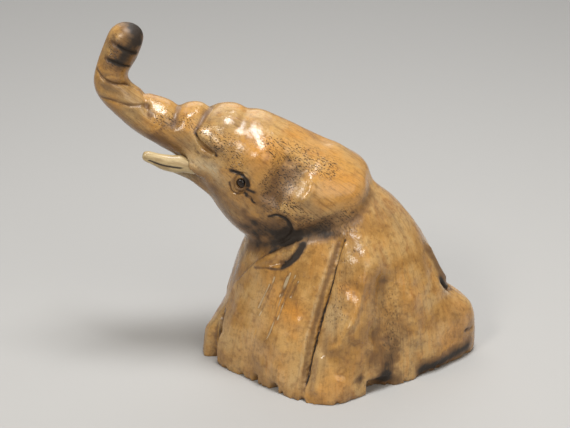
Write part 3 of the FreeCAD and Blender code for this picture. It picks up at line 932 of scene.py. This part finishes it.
FOOT = Region(
    swells=(
        Swell((26, -59, 55), 2.4, 1.4, False),
        Swell((54, -51, 87), 16, 6.0),
        Swell((-46.5, -24, 25), 3.0, -2.6, False),
        Swell((-15, -57, 15), 7, 1.8),
        Swell((-6, -64, 17), 5, 1.2),
        Swell((0, -64, 30), 6, 1.0),
        Swell((10, -61, 49), 5, 1.4),
        Swell((42, -66, 68), 6, 1.6),
        Swell((42, -64, 78), 4, -0.8),
        Swell((23, -84, 8), 5, 1.6),
        Swell((76, -52, 36), 9, 1.2),
        Swell((62, -62, 40), 7, -1.6),
        Swell((88, -42, 56), 9, 1.3),
        Swell((-58, -8, 20), 7, 1.6, False),
    ),
    strokes=(
        Stroke(((53, -58, 88), (50, -67, 70), (45, -73.4, 55.6), (40, -75.6, 49), (35.7, -77.8, 40.7),
                (25, -76, 33)), 2.8, -3.0),
        Stroke(((25, -75, 34), (22.5, -80, 21.7), (21, -83, 5.8)), 3.2, -2.3),
        Stroke(((47, -74, 44), (42, -79, 30), (36, -81, 16)), 6.0, 2.4),
        Stroke(CLEFT, 3.0, 4.0, Cut.VEE, False),
        Stroke(((128, -18, 22), (132, -15, 21), (136, -9, 20)), 1.4, 1.3, Cut.VEE, False),
        Stroke(((97, -8, 86), (101, -9, 80), (106, -10, 72), (111, -9, 63), (115.5, -4, 54)),
               4.4, -2.2, both_sides=False),
        Stroke(((108, -16, 60), (114, -11, 53), (118.5, -3, 48), (118.5, 6, 48)), 2.2, 3.2,
               Cut.VEE, False),
        Stroke(((62, -44, 82), (66, -54, 55), (65, -62, 28)), 8.5, 3.0),
        Stroke(((80, -38, 76), (88, -44, 50), (92, -49, 22)), 6.0, -2.0),
        Stroke(((98, -28, 64), (107, -33, 40), (113, -35, 12)), 6.0, 1.3),
        Stroke(((-16, -47, 46), (-24, -47, 28), (-30, -47, 6)), 6.0, 0.9),
        Stroke(((0, -56, 44), (-4, -63, 22), (-6, -68, 4)), 6.0, -0.9),
    ),
    patches=(
        # Painted shade in the hollow behind the shoulder, together with the wood's dark brown there.
        Patch(Tone.STAIN_AND_SHADE, ((60, -56, 72), (66, -57, 46), (62, -64, 22)), 14, 0.28),
        Patch(Tone.STAIN_AND_SHADE, ((80, -48, 52), (82, -52, 30)), 10, 0.25),
        Patch(Tone.STAIN_AND_SHADE, ((72, -60, 22), (66, -64, 8)), 9, 0.7),
        Patch(Tone.STAIN_AND_SHADE, ((50, -75, 14),), 5, 0.9, False),
        # Dark stain and painted shade along the underside bevel of the right flange.
        Patch(Tone.STAIN_AND_SHADE, ((96, -46, 5), (116, -32, 6), (132, -18, 8)), 8, 1.15),
        Patch(Tone.STAIN_AND_SHADE, ((78, -60, 4), (66, -64, 3)), 7, 0.8),
        # Painted shade in the cleft beside the front knob.
        Patch(Tone.STAIN_AND_SHADE, CLEFT, 2.6, 1.4, False),
        Patch(Tone.STAIN_AND_SHADE, BARK_LOBE, 6.0, 0.55, False),
        # Paler wood and painted sheen: the next three patches lighten the low panel, the slope right of the
        # groove and the low chest.
        Patch(Tone.PALE, ((-20, -50, 30), (-8, -60, 14), (6, -70, 8)), 13, 0.32),
        Patch(Tone.PALE, ((30, -64, 62), (24, -72, 34)), 8, 0.25),
        Patch(Tone.PALE, ((-40, -24, 56), (-44, -27, 30)), 8, 0.30),
        Patch(Tone.PALE, ((-14, -44, 66), (-22, -44, 50)), 9, 0.25),
        Patch(Tone.PALE, ((124, -22, 36), (112, -32, 30)), 10, 0.25),
        # Painted shade in the crease on the right flange and in the crease under the bark lobe.
        Patch(Tone.STAIN_AND_SHADE, ((128, -18, 22), (136, -9, 20)), 1.5, 1.2, False),
        Patch(Tone.STAIN_AND_SHADE, ((108, -14, 60), (114, -9, 52), (118, 0, 47)), 2.4, 1.3, False),
        Patch(Tone.AMBER, ((24, -82, 6), (34, -80, 14)), 12, 0.8),
        Patch(Tone.AMBER, ((40, -62, 76), (46, -64, 70)), 6, 1.1),
        Patch(Tone.AMBER, ((3, -55, 61), (8, -58, 56)), 7, 0.9),
        Patch(Tone.STAIN_AND_SHADE, ((58, -69, 22), (66, -62, 34), (76, -53, 42)), 9, 0.24),
        Patch(Tone.STAIN_AND_SHADE, ((68, -50, 60), (76, -45, 78)), 10, 0.12),
        Patch(Tone.STAIN_AND_SHADE, ((46, -74, 34), (52, -70, 46)), 7, 0.22),
        Patch(Tone.STAIN_AND_SHADE, ((94, -45, 26), (86, -47, 38)), 9, 0.14),
        Patch(Tone.STAIN_AND_SHADE, ((0, -52, 70), (10, -56, 62)), 6, 0.22),
        Patch(Tone.AMBER, ((116, -26, 22), (126, -18, 34)), 13, 0.9),
        Patch(Tone.AMBER, ((54, -60, 74), (60, -52, 80)), 9, 0.5),
        Patch(Tone.AMBER, ((88, -40, 60),), 12, 0.5),
        Patch(Tone.ASH, ((48, -48, 100), (41, -57, 80), (35, -66, 55), (27, -73, 30), (20, -78, 10)),
              6.5, 0.8),
        Patch(Tone.ASH, ((64, -24, 118), (80, -20, 104)), 12, 0.5),
        Patch(Tone.ASH, ((98, -8, 84), (106, -9, 72), (113, -8, 58)), 7, 1.3, False),
        Patch(Tone.PORES, ((46, -50, 96), (34, -67, 54)), 9, 0.5),
        Patch(Tone.PORES, ((70, -50, 60), (74, -58, 30)), 14, 0.5),
    ),
)


# ---------------------------------------------------------------- the pieces

def object_from(mesh: bpy.types.Mesh, name: str) -> bpy.types.Object:
    """A new object at the origin that shows a mesh."""
    made = bpy.data.objects.new(name, mesh)
    bpy.context.scene.collection.objects.link(made)
    return made


def remeshed(node: str, voxel: float) -> bpy.types.Mesh:
    """An even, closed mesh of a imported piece.

    Args:
        node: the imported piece's name.
        voxel: the size of the mesh's faces, in millimetres.

    Returns:
        The new mesh, in metres.
    """
    shape = bmesh.new()
    shape.from_mesh(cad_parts[node].data)
    bmesh.ops.remove_doubles(shape, verts=shape.verts, dist=0.005 * MM)
    mesh = bpy.data.meshes.new(node + "_even")
    shape.to_mesh(mesh)
    shape.free()
    carrier = object_from(mesh, node + "_carrier")
    even = carrier.modifiers.new("even", "REMESH")
    even.mode = "VOXEL"
    even.voxel_size = voxel * MM
    even.use_smooth_shade = True
    graph = bpy.context.evaluated_depsgraph_get()
    made = bpy.data.meshes.new_from_object(carrier.evaluated_get(graph), depsgraph=graph)
    bpy.data.objects.remove(carrier)
    return made


def refine(mesh: bpy.types.Mesh, paths: tuple[tuple[Point, ...], ...], reach: float) -> None:
    """Divides the faces near some paths.

    Args:
        mesh: the mesh, in metres; it is changed.
        paths: lines near the surface, in millimetres.
        reach: how far from a line faces are divided, in millimetres.
    """
    sculpt = Sculpt(mesh)
    close = np.zeros(len(sculpt.points), bool)
    for path in paths:
        close[sculpt.nearness(flowing(path, 4.0), reach).near] = True
    shape = bmesh.new()
    shape.from_mesh(mesh)
    chosen = [e for e in shape.edges if close[e.verts[0].index] and close[e.verts[1].index]]
    bmesh.ops.subdivide_edges(shape, edges=chosen, cuts=1, use_grid_fill=True)
    wide = [f for f in shape.faces if len(f.verts) > 4]
    bmesh.ops.triangulate(shape, faces=wide)
    for face in shape.faces:
        face.smooth = True
    shape.to_mesh(mesh)
    shape.free()


@dataclass
class CarvedBlock:
    """The one piece of root wood: trunk, head, ears and flared foot."""

    voxel: float = 1.75
    foot_centre: float = 38.0
    lid_radius: float = 3.7
    regions: tuple[Region, ...] = (TRUNK, HEAD, EAR, FOOT)
    finish: RootWood = RootWood()

    def build(self) -> bpy.types.Object:
        """Carves, colours and places the block.

        Returns:
            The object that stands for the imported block.
        """
        mesh = remeshed("carved_block", self.voxel)
        for paths, reach in DETAIL:
            refine(mesh, paths, reach)
        sculpt = Sculpt(mesh)
        self.blend_joins(sculpt)
        for region in self.regions:
            region.carve(sculpt)
        self.carve_lids(sculpt)
        self.roughen(sculpt)
        self.break_base(sculpt)
        self.trim(sculpt)
        for region in self.regions:
            region.paint(sculpt)
        self.keep_tones(sculpt)
        block = object_from(mesh, "carved_wood")
        mesh.materials.clear()
        mesh.materials.append(self.finish.material())
        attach(block, "root")
        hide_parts("carved_block")
        return block

    def blend_joins(self, sculpt: Sculpt) -> None:
        """Softens the block all over a little, and much more where head, lip and foot meet.

        Args:
            sculpt: the mesh being carved.
        """
        sculpt.relax(np.full(len(sculpt.points), 0.6), 2)
        joins = (
            (((-28, -8, 88), (-15, -28, 90), (0, -38, 97), (10, -39, 104), (24, -41, 108),
              (40, -40, 112), (51, -32, 118), (58, -16, 125), (60, 0, 126)), 7.0, 10),
            (((44, -38, 114), (53, -30, 119), (59, -16, 125), (62, 0, 127)), 10.0, 26),
            (((-50, -22, 150), (-56, -22, 142), (-60, -18, 137)), 7.0, 14),
            (((-66, -12, 154), (-58, -20, 156), (-50, -23, 152)), 6.0, 14),
            (((47, -46, 105), (52, -52, 96), (54, -57, 88)), 8.0, 20),
        )
        for path, reach, passes in joins:
            weights = np.zeros(len(sculpt.points))
            for side in (path, mirrored(path)):
                found = sculpt.nearness(flowing(side), reach * 1.6)
                fall = 1 - smooth(found.distance, reach * 0.6, reach * 1.6)
                weights[found.near] = np.maximum(weights[found.near], fall)
            sculpt.relax(weights, passes)

    def carve_lids(self, sculpt: Sculpt) -> None:
        """Raises a rim of lid round each bead.

        Args:
            sculpt: the mesh being carved.
        """
        centre, out = np.array(EYE), np.array(EYE_FACING)
        out = out / np.linalg.norm(out)
        across = np.cross(out, (0, 0, 1))
        across /= np.linalg.norm(across)
        up = np.cross(across, out)
        for hand in (1, -1):
            flip = np.array((1, hand, 1))
            off = sculpt.points * flip - centre
            flat = off - (off @ out)[:, None] * out
            lean = math.radians(EYE_LEAN)
            wide = flat @ across * math.cos(lean) + flat @ up * math.sin(lean)
            tall = flat @ up * math.cos(lean) - flat @ across * math.sin(lean)
            around = np.hypot(wide * 1.15, tall * 0.82)
            near = (np.abs(off @ out) < 6) & (around < 12)
            lid = 1.1 * np.exp(-(((around - self.lid_radius) / 1.1) ** 2))
            hem = -0.7 * np.exp(-(((around - self.lid_radius - 2.3) / 0.8) ** 2))
            lift = np.where(near, lid + hem, 0)
            sculpt.points += lift[:, None] * out * flip

    def bearing(self, points: np.ndarray) -> np.ndarray:
        """The bearing of points round the foot, from 0 to 360 degrees."""
        angle = np.arctan2(points[:, 1], points[:, 0] - self.foot_centre)
        return np.degrees(angle) % 360

    def roughen(self, sculpt: Sculpt) -> None:
        """Gives the surface the uneven facets of hand carving and natural root.

        Args:
            sculpt: the mesh being carved.
        """
        p = sculpt.points
        sculpt.take_normals()
        low = smooth(p[:, 2], 110, 60)
        broad = unevenness(p, 17.0, 11) * (0.40 + 0.60 * low)
        small = unevenness(p, 6.0, 12) * (0.16 + 0.12 * low)
        grain = self.grain(p)
        flutes = unevenness(grain * np.array((1, 1, 0.12)), 8.0, 13) * 0.50 * low
        everywhere = np.arange(len(p))
        sculpt.push(everywhere, broad + small + flutes)

    def break_base(self, sculpt: Sculpt) -> None:
        """Cuts the notch, the bevel and the broken edge round the foot of the wood.

        Args:
            sculpt: the mesh being carved.
        """
        p = sculpt.points
        turn, height = self.bearing(p), p[:, 2]
        radial = p[:, :2] - (self.foot_centre, 0)
        radial = radial / np.maximum(np.linalg.norm(radial, axis=1), 1)[:, None]
        edge = np.stack((radial[:, 0] * 80, radial[:, 1] * 80, height * 0.4), axis=1)
        flaw = np.clip(unevenness(edge, 7.0, 21) + 0.6 * unevenness(edge, 2.6, 22) - 0.10, 0, 1)
        inset = 1.5 * flaw * np.clip(1 - height / 7.0, 0, 1)
        for middle, half_width, depth, top in CHIPS:
            bite = np.clip(1 - np.abs(turn - middle) / half_width, 0, 1) ** 0.7
            inset += depth * bite * np.clip(1 - height / top, 0, 1) ** 0.8
        for deepens, fades, depth, top, curve in BASE_CUTS:
            share = smooth(turn, *deepens) * (1 - smooth(turn, *fades))
            inset += depth * share * np.clip(1 - height / top, 0, 1) ** curve
        p[:, :2] -= radial * inset[:, None]

    def trim(self, sculpt: Sculpt) -> None:
        """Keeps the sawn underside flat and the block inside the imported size.

        Args:
            sculpt: the mesh being carved.
        """
        low, high = [np.array(c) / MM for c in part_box("carved_block")]
        sculpt.take_normals()
        under = (sculpt.normals[:, 2] < -0.8) & (sculpt.points[:, 2] < 2.0)
        sculpt.points[under, 2] = low[2]
        sculpt.points = np.clip(sculpt.points, low, high)
        sculpt.take_normals()

    def in_foot(self, points: np.ndarray) -> np.ndarray:
        """Whether points lie below the line where the head meets the flared foot."""
        x, z = points[:, 0], points[:, 2]
        neck = np.interp(x, (-30, 0, 24, 51, 60, 90), (87, 97, 107, 118, 126, 128))
        return (z < neck) & (x > -62)

    def grain(self, points: np.ndarray) -> np.ndarray:
        """Coordinates whose third one runs along the grain, in millimetres.

        Args:
            points: one row for each point.

        Returns:
            One row of three for each point.
        """
        x, y, z = points.T
        across, along = 0.61 * x + 0.79 * z, 0.79 * x - 0.61 * z
        head = np.stack((across, y, along), axis=1)
        round_foot = np.radians(self.bearing(points))
        foot = np.stack((75 * np.cos(round_foot), 75 * np.sin(round_foot), z), axis=1)
        return np.where(self.in_foot(points)[:, None], foot, head)

    def keep_tones(self, sculpt: Sculpt) -> None:
        """Keeps the tones, the creases, the grain, the foot and the undersides on the mesh; the crease and
        underside masks darken the wood as painted shade.

        Args:
            sculpt: the mesh, carved and painted.
        """
        for tone in Tone:
            values = sculpt.tones.get(tone.value, np.zeros(len(sculpt.points)))
            sculpt.store(tone.value, np.clip(values, 0, 1.5))
        # Painted shade mask: how deep each vertex lies in a crease or hollow.
        narrow = sculpt.hollowness(4, 0.35)
        wide = sculpt.hollowness(30, 2.2)
        sculpt.store("crease", np.clip(0.6 * narrow + 0.6 * wide, 0, 1))
        sculpt.store("grain", self.grain(sculpt.points) * MM)
        sculpt.store("foot", self.in_foot(sculpt.points).astype(float))
        # Painted shade mask: the surfaces that face down.
        facing_down = smooth(-sculpt.normals[:, 2], 0.02, 0.62)
        sculpt.store("under", sculpt.averaged(facing_down, 5))


@dataclass
class Tusk:
    """One tusk, with its grain and its long split."""

    side: str
    seat: Point = (-60.5, -16.0, 144.8)
    tip: Point = (-95.8, -24.0, 156.4)
    voxel: float = 0.55
    split_drop: float = 0.36
    finish: PaleTusk = PaleTusk()

    def build(self) -> bpy.types.Object:
        """Carves and places the tusk.

        Returns:
            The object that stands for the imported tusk.
        """
        node = self.side + "_tusk"
        mesh = remeshed(node, self.voxel)
        sculpt = Sculpt(mesh)
        hand = 1 if self.side == "left" else -1
        p = sculpt.points * (1, hand, 1)
        seat, tip = np.array(self.seat), np.array(self.tip)
        reach = np.linalg.norm(tip - seat)
        axis = (tip - seat) / reach
        off = p - seat
        along = off @ axis
        side_way = np.cross(axis, (0, 0, 1))
        side_way /= np.linalg.norm(side_way)
        up = np.cross(side_way, axis)
        height, width = off @ up, off @ side_way
        outward = (off - along[:, None] * axis) @ side_way * np.sign(side_way[1] * -1)
        line = -self.split_drop * 5.2 + 0.4 * np.sin(along / 5.0)
        shown = smooth(along, 8.0, 12.0) * (1 - smooth(along, reach - 6.0, reach - 2.0))
        split = np.exp(-(((height - line) / 0.55) ** 2)) * shown * (np.sign(outward) > 0)
        ripple = 0.22 * unevenness(p * (0.3, 1, 1), 3.2, 31) * smooth(along, 8.0, 12.0)
        sculpt.push(np.arange(len(p)), ripple - 0.9 * split - 0.25)
        swollen = smooth(along, 7.0, 14.0) * 0.30
        stretch = (height * swollen)[:, None] * up
        sculpt.points += stretch * (1, hand, 1)
        low, high = [np.array(c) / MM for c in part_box(node)]
        sculpt.points = np.clip(sculpt.points, low, high)
        sculpt.take_normals()
        sculpt.store("split", split)
        sculpt.store("grain", np.stack((height, width, along), axis=1) * MM)
        horn = object_from(mesh, self.side + "_tusk_carved")
        mesh.materials.clear()
        mesh.materials.append(self.finish.material())
        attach(horn, "root")
        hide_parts(node)
        return horn


@dataclass
class BeadEye:
    """One oval, polished bead eye."""

    side: str
    half_size: Point = (2.9, 4.1, 2.9)
    finish: PolishedBead = PolishedBead()

    def build(self) -> bpy.types.Object:
        """Shapes and places the bead.

        Returns:
            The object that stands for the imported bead.
        """
        shape = bmesh.new()
        bmesh.ops.create_icosphere(shape, subdivisions=4, radius=1.0)
        turned = Matrix.Rotation(math.radians(EYE_LEAN), 4, "Z")
        outward = Vector(EYE_FACING).to_track_quat("Z", "Y").to_matrix().to_4x4()
        place = Matrix.Translation(Vector(EYE) * MM)
        size = Matrix.Diagonal((*(Vector(self.half_size) * MM), 1.0))
        bmesh.ops.transform(shape, matrix=place @ outward @ turned @ size, verts=shape.verts)
        if self.side == "right":
            bmesh.ops.transform(shape, matrix=Matrix.Diagonal((1, -1, 1, 1)), verts=shape.verts)
            bmesh.ops.recalc_face_normals(shape, faces=shape.faces)
        for face in shape.faces:
            face.smooth = True
        mesh = bpy.data.meshes.new(self.side + "_bead")
        shape.to_mesh(mesh)
        shape.free()
        mesh.materials.append(self.finish.material())
        bead = object_from(mesh, self.side + "_bead_eye")
        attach(bead, "root")
        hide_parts(self.side + "_eye")
        return bead


# ---------------------------------------------------------------- the studio

@dataclass(frozen=True)
class Lamp:
    """A soft rectangular light: where it is, what it faces, its size in metres, its watts."""

    name: str
    place: Point
    aim: Point
    size: tuple[float, float]
    watts: float
    colour: Colour = (1.0, 1.0, 1.0)

    def build(self) -> None:
        """Adds the light."""
        data = bpy.data.lights.new(self.name, "AREA")
        data.shape = "RECTANGLE"
        data.size, data.size_y = self.size
        data.energy = self.watts
        data.color = self.colour
        made = bpy.data.objects.new(self.name, data)
        bpy.context.scene.collection.objects.link(made)
        made.location = self.place
        way = Vector(self.aim) - Vector(self.place)
        made.rotation_euler = way.to_track_quat("-Z", "Y").to_euler()


@dataclass
class Studio:
    """A plain pale floor, soft lights and the camera."""

    elevation: float = 22.0
    distance: float = 1.0
    target: Point = (0.0, 0.0, 0.104)
    lens: float = 90.0
    floor_side: float = 24.0
    floor_colour: Colour = (0.44, 0.435, 0.425)
    air_colour: Colour = (0.95, 0.93, 0.90)
    air_strength: float = 0.26
    lamps: tuple[Lamp, ...] = (
        Lamp("overhead", (0.16, -0.12, 1.42), (0.0, 0.0, 0.1), (0.46, 0.46), 16.0),
        Lamp("front_right", (0.95, -1.20, 1.00), (0.0, 0.0, 0.1), (1.2, 1.2), 8.5, (1.0, 0.93, 0.82)),
        Lamp("front_left", (-0.90, -1.25, 1.34), (0.0, 0.0, 0.1), (0.42, 0.42), 12.5, (1.0, 0.95, 0.87)),
        Lamp("behind", (-0.10, 1.70, 1.70), (0.0, 0.7, 0.0), (2.0, 1.6), 16.0),
    )

    def build(self) -> None:
        """Makes the floor, the surroundings, the lamps and the camera."""
        shape = bmesh.new()
        bmesh.ops.create_grid(shape, x_segments=1, y_segments=1, size=self.floor_side / 2)
        mesh = bpy.data.meshes.new("floor")
        shape.to_mesh(mesh)
        shape.free()
        floor = object_from(mesh, "floor")
        g = Graph("pale_floor")
        cloth = g.noise(g.place(), 60.0, 3.0)
        tint = g.mixed(cloth * 0.2, self.floor_colour, tuple(c * 0.96 for c in self.floor_colour))
        mesh.materials.append(g.finished({"Base Color": tint, "Roughness": 0.9}))
        world = bpy.data.worlds.new("surroundings")
        world.use_nodes = True
        back = world.node_tree.nodes["Background"]
        back.inputs["Color"].default_value = (*self.air_colour, 1.0)
        back.inputs["Strength"].default_value = self.air_strength
        bpy.context.scene.world = world
        bpy.context.scene.view_settings.view_transform = "Standard"
        for lamp in self.lamps:
            lamp.build()
        self.place_camera()

    def place_camera(self) -> None:
        """Makes the camera and points it at the carving."""
        data = bpy.data.cameras.new("camera")
        data.lens = self.lens
        data.sensor_width = 36.0
        data.clip_start, data.clip_end = 0.05, 60.0
        camera = bpy.data.objects.new("camera", data)
        bpy.context.scene.collection.objects.link(camera)
        tilt = math.radians(self.elevation)
        back = Vector((0.0, -math.cos(tilt), math.sin(tilt)))
        camera.location = Vector(self.target) + back * self.distance
        camera.rotation_euler = (-back).to_track_quat("-Z", "Y").to_euler()
        bpy.context.scene.camera = camera


def main() -> None:
    """Builds the carving and the studio."""
    logging.basicConfig(level=logging.INFO)
    block = CarvedBlock().build()
    triangles = sum(len(face.vertices) - 2 for face in block.data.polygons)
    log.info("%s: %d triangles", block.name, triangles)
    for side in ("left", "right"):
        horn = Tusk(side).build()
        bead = BeadEye(side).build()
        log.info("%s: %d faces", horn.name, len(horn.data.polygons))
        log.info("%s: %d faces", bead.name, len(bead.data.polygons))
    Studio().build()


if __name__ == "__main__":
    main()
